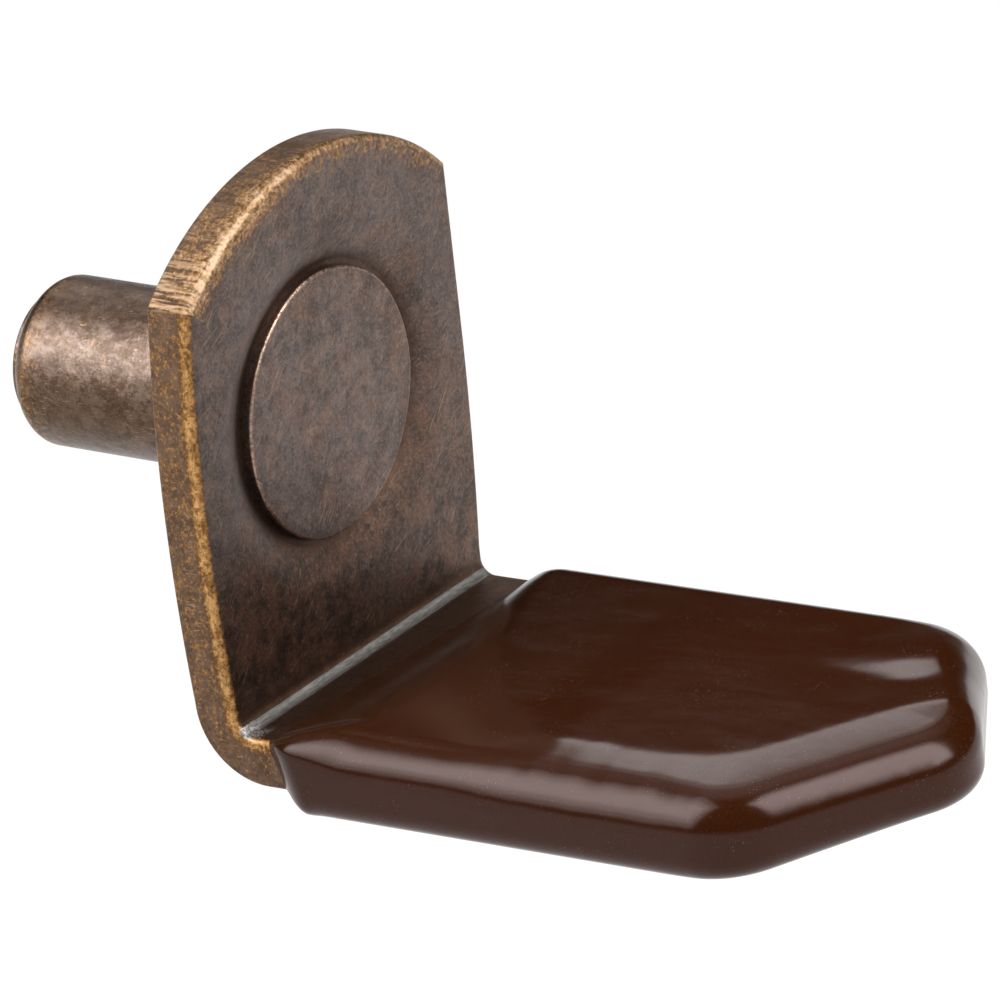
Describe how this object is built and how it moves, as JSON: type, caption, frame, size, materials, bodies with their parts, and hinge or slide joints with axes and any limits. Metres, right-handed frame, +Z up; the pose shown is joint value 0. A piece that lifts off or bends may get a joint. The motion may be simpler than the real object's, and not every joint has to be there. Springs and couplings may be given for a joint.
{
  "type": "shelf support pin",
  "caption": "Folded sheet-metal shelf rest with a crowned leg, a riveted pin for a shelf hole and a pointed arm dipped in soft brown vinyl.",
  "frame": {"origin": "on the pin's axis, at the flat back face of the leg, where the part seats against a cabinet side", "axes": "+Y along the pin into the cabinet side, -Y out under the shelf, X across the width, +Z up"},
  "size_m": [0.0136, 0.0304, 0.0173],
  "materials": {
    "bracket_metal": "antique brass: a dark brown patina rubbed through to gold along the edges",
    "pin_metal": "antique brass, blotched and scuffed, with a bright scraped side",
    "vinyl": "glossy dark brown dipped vinyl with a little dust"
  },
  "bodies": {
    "root": {"bracket": "bracket_metal", "pin": "pin_metal", "coating": "vinyl"}
  },
  "joints": []
}
